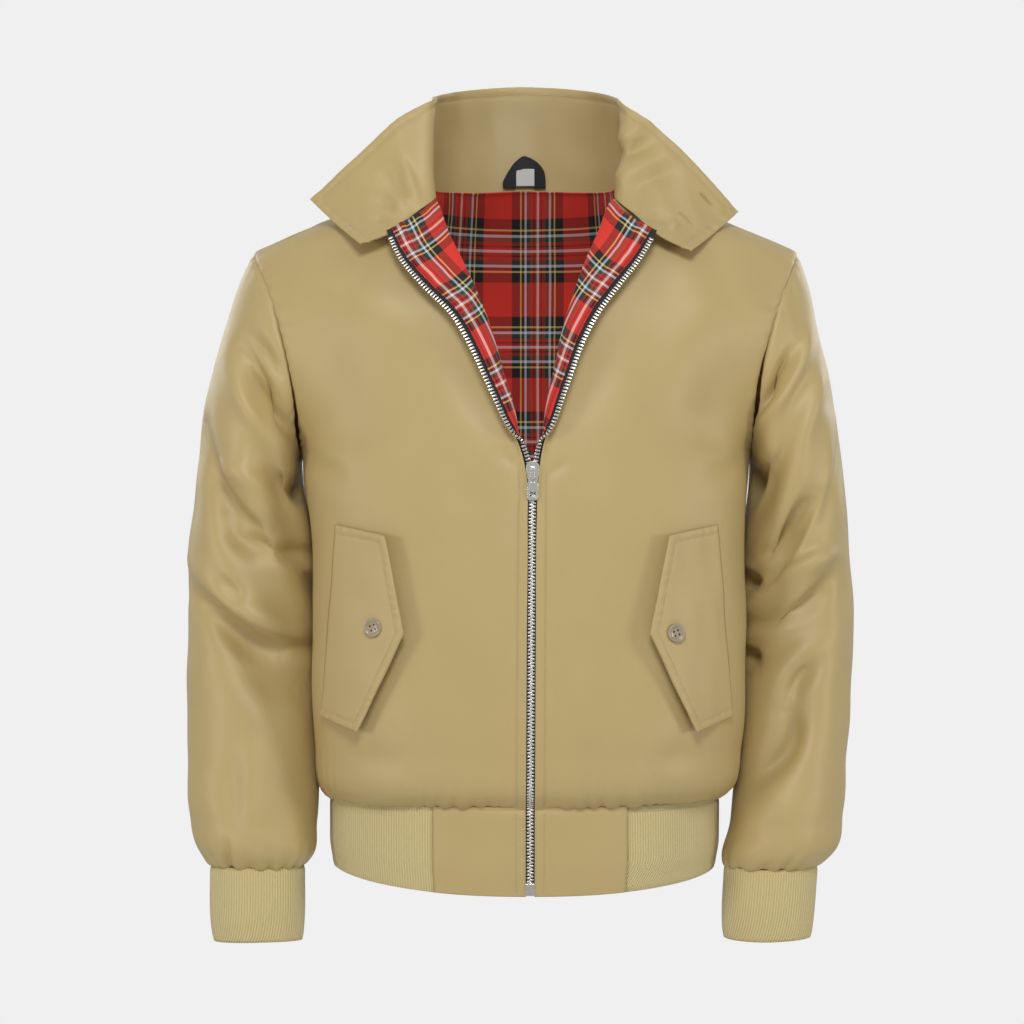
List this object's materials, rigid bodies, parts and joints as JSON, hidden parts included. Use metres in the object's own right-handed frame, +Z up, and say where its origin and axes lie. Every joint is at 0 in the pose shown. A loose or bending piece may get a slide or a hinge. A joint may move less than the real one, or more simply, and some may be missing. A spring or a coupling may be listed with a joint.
{
  "type": "harrington jacket",
  "caption": "Short zip-front jacket with a stand-up collar worn open, folded-back tartan-lined fronts, slanted buttoned pocket flaps, and knitted hem and cuffs.",
  "frame": {"origin": "middle of the neck at the height of the nape seam, where the wearer's shoulders or a hanger carry the jacket", "axes": "+Z up the body, -Y out of the front, +X towards the wearer's left"},
  "size_m": [0.5983, 0.2607, 0.7865],
  "materials": {
    "tan_twill": "fine cotton blend cloth with a soft sheen",
    "tan_rib_knit": "fine matt rib knit",
    "red_tartan": "matt woven tartan lining, red with dark green, black, yellow and white lines",
    "black_tape": "black woven tape",
    "white_label": "plain white woven tag",
    "nickel": "bright nickel-plated zip metal",
    "beige_button": "moulded horn-effect resin"
  },
  "bodies": {
    "jacket": {"front_left": "tan_twill", "front_right": "tan_twill", "back": "tan_twill", "sleeve_left": "tan_twill", "sleeve_right": "tan_twill", "hem_tab_left": "tan_twill", "hem_tab_right": "tan_twill", "collar": "tan_twill", "pocket_flap_left": "tan_twill", "pocket_flap_right": "tan_twill", "cuff_left": "tan_rib_knit", "cuff_right": "tan_rib_knit", "waistband_rib": "tan_rib_knit", "lining_back": "red_tartan", "lining_front_left": "red_tartan", "lining_front_right": "red_tartan", "zip_tape_left": "black_tape", "zip_tape_right": "black_tape", "hanger_loop": "black_tape", "size_tag": "white_label", "zip_slider": "nickel", "zip_box": "nickel", "flap_button_left": "beige_button", "flap_button_right": "beige_button", "collar_button_1": "beige_button", "collar_button_2": "beige_button"},
    "zip_pull": {"zip_pull": "nickel"}
  },
  "joints": [
    {"name": "zip_pull_swing", "type": "hinge", "parent": "jacket", "child": "zip_pull", "pos_m": [0.0066, -0.13535, -0.2705], "axis": [-1, 0, 0], "range_deg": [0, 120]}
  ]
}
